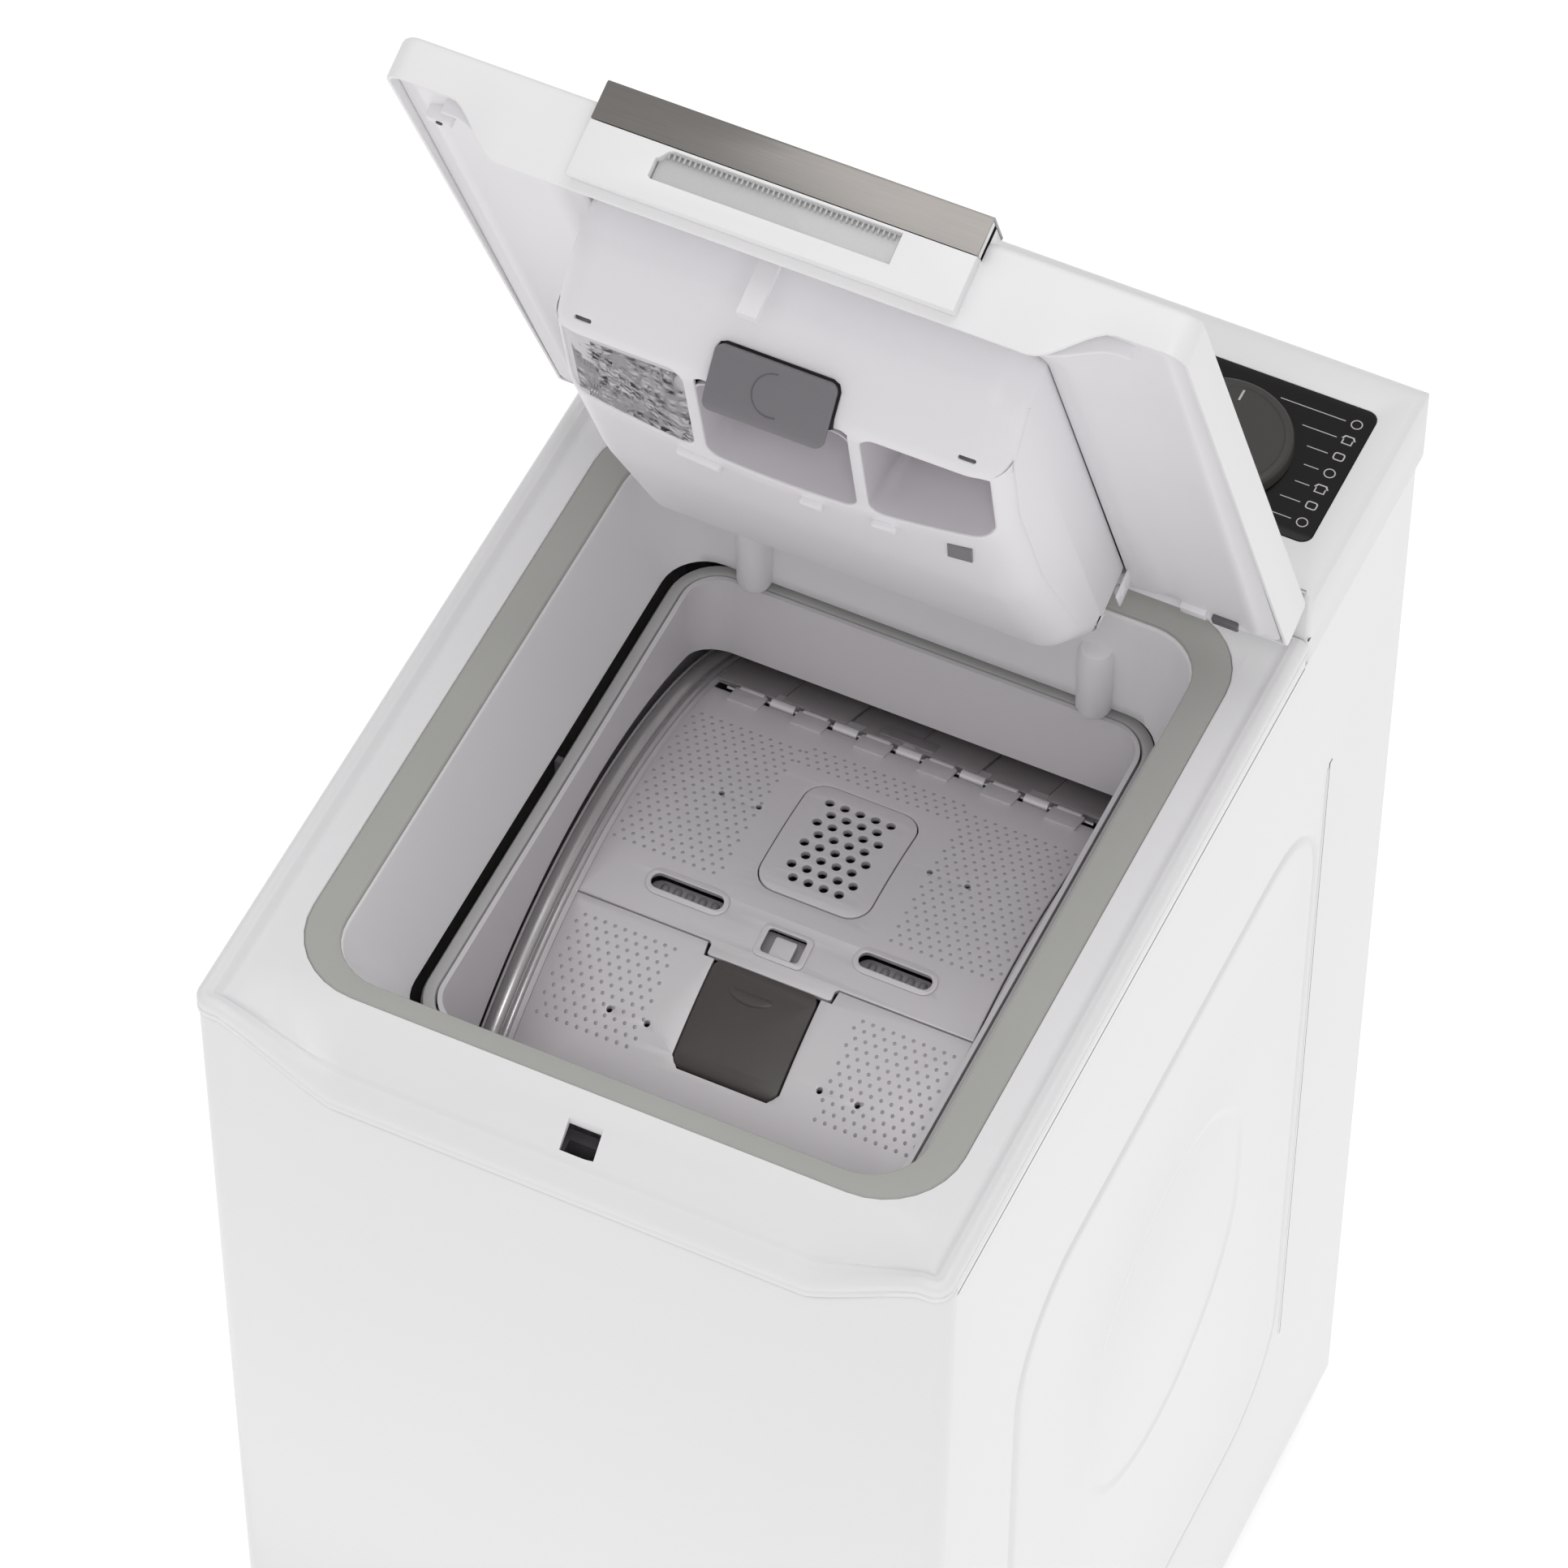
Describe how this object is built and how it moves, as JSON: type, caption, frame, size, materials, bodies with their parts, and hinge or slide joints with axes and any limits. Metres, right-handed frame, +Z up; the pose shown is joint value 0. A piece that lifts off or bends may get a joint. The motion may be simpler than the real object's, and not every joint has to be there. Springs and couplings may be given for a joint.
{
  "type": "top load washing machine",
  "caption": "Narrow top load washing machine with a tilting lid, a detergent dispenser in the lid, a horizontal drum with twin flaps and a rear control console.",
  "frame": {"origin": "on the floor below the middle of the machine's width and depth", "axes": "+X to the right as seen from the front, +Y to the back, +Z up; the lid stands open"},
  "size_m": [0.4, 0.586, 1.3118],
  "materials": {
    "white_steel": "smooth white enamel",
    "zinc_steel": "bare zinc-coated sheet",
    "base_plastic": "moulded",
    "white_plastic": "satin",
    "liner_plastic": "satin",
    "grey_rubber": "matte",
    "black_rubber": "matte",
    "grey_plastic": "moulded",
    "strip_metal": "brushed",
    "black_glass": "polished",
    "knob_plastic": "satin",
    "board_plastic": "circuit board",
    "pin_steel": "turned",
    "tub_plastic": "moulded",
    "drum_steel": "satin stainless",
    "lifter_plastic": "moulded",
    "pad_plastic": "moulded",
    "cast_alloy": "cast",
    "motor_paint": "black",
    "pump_plastic": "moulded",
    "concrete": "cast weight"
  },
  "bodies": {
    "cabinet": {"base_frame": "base_plastic", "left_side_panel": "white_steel", "right_side_panel": "white_steel", "front_panel": "white_steel", "rear_panel": "zinc_steel", "rear_service_cover": "zinc_steel", "kick_plate": "white_plastic", "drain_pump": "pump_plastic", "rear_feet": "black_rubber", "top_plate": "white_plastic", "lid_seal": "grey_rubber", "bellows_seal": "grey_rubber", "lid_lock": "grey_plastic", "console_housing": "white_plastic", "display_glass": "black_glass", "control_board": "board_plastic", "lid_hinge_pins": "pin_steel", "tub_left": "tub_plastic", "tub_right": "tub_plastic", "tub_neck": "tub_plastic", "drum_bearing_left": "pin_steel", "drum_bearing_right": "pin_steel", "shaft_seal_left": "black_rubber", "shaft_seal_right": "black_rubber", "motor": "motor_paint", "drive_belt": "black_rubber", "suspension_springs": "zinc_steel", "shock_absorbers": "zinc_steel", "counterweight": "concrete", "heating_element": "zinc_steel", "water_inlet_valve": "pump_plastic", "cord_gland": "black_rubber", "panel_screws": "zinc_steel"},
    "filter_flap": {"filter_flap": "white_plastic"},
    "pump_filter": {"pump_filter": "grey_plastic"},
    "left_foot": {"front_left_foot": "black_rubber"},
    "right_foot": {"front_right_foot": "black_rubber"},
    "knob": {"program_knob": "knob_plastic"},
    "lid": {"lid_outer_shell": "white_plastic", "lid_liner": "liner_plastic", "lid_handle": "white_plastic", "handle_strip": "strip_metal", "handle_grip": "grey_plastic", "lid_latch_hook": "liner_plastic"},
    "tray": {"dispenser_tray": "liner_plastic"},
    "tray_button": {"dispenser_button": "grey_plastic"},
    "drum": {"drum_shell": "drum_steel", "drum_end_left": "drum_steel", "drum_end_right": "drum_steel", "drum_lifters": "lifter_plastic", "drum_shaft_left": "pin_steel", "drum_shaft_right": "pin_steel", "flap_hinge_pins": "pin_steel", "drum_pulley": "cast_alloy"},
    "rear_flap": {"drum_flap_rear": "drum_steel", "flap_insert": "drum_steel"},
    "front_flap": {"drum_flap_front": "drum_steel"},
    "latch_button": {"drum_latch_button": "pad_plastic"},
    "motor_pulley": {"motor_pulley": "cast_alloy"}
  },
  "joints": [
    {"name": "lid_hinge", "type": "hinge", "parent": "cabinet", "child": "lid", "pos_m": [0, 0.138, 0.902], "axis": [-1, 0, 0], "range_deg": [-68, 0]},
    {"name": "dispenser_tilt", "type": "hinge", "parent": "lid", "child": "tray", "pos_m": [0, 0.08985, 0.91706], "axis": [1, 0, 0], "range_deg": [0, 20]},
    {"name": "dispenser_button_press", "type": "slide", "parent": "tray", "child": "tray_button", "axis": [0, 0.8182, -0.5749], "range_m": [0, 0.003], "stiffness_N_per_m": 400},
    {"name": "drum_spin", "type": "hinge", "parent": "cabinet", "child": "drum", "pos_m": [0, 0, 0.49], "axis": [1, 0, 0], "range_deg": [-360, 360]},
    {"name": "rear_flap_hinge", "type": "hinge", "parent": "drum", "child": "rear_flap", "pos_m": [0, 0.104, 0.70129], "axis": [-1, 0, 0], "range_deg": [0, 75]},
    {"name": "front_flap_hinge", "type": "hinge", "parent": "drum", "child": "front_flap", "pos_m": [0, -0.176, 0.64647], "axis": [1, 0, 0], "range_deg": [0, 50]},
    {"name": "latch_button_press", "type": "slide", "parent": "front_flap", "child": "latch_button", "axis": [0, 0, -1], "range_m": [0, 0.004], "stiffness_N_per_m": 500},
    {"name": "motor_spin", "type": "hinge", "parent": "cabinet", "child": "motor_pulley", "pos_m": [-0.18, 0.07, 0.18], "axis": [1, 0, 0], "range_deg": [-4200, 4200]},
    {"name": "knob_turn", "type": "hinge", "parent": "cabinet", "child": "knob", "pos_m": [0.118, 0.211, 0.9], "axis": [0, 0, 1], "continuous": true},
    {"name": "filter_flap_hinge", "type": "hinge", "parent": "cabinet", "child": "filter_flap", "pos_m": [0.105, -0.284, 0.038], "axis": [1, 0, 0], "range_deg": [0, 90]},
    {"name": "pump_filter_turn", "type": "hinge", "parent": "cabinet", "child": "pump_filter", "pos_m": [0.105, -0.26, 0.066], "axis": [0, 1, 0], "range_deg": [0, 90]},
    {"name": "left_foot_screw", "type": "slide", "parent": "cabinet", "child": "left_foot", "axis": [0, 0, -1], "range_m": [0, 0.012]},
    {"name": "right_foot_screw", "type": "slide", "parent": "cabinet", "child": "right_foot", "axis": [0, 0, -1], "range_m": [0, 0.012]}
  ],
  "couplings": [
    {"joint": "motor_spin", "follows": "drum_spin", "ratio": 11.667}
  ]
}
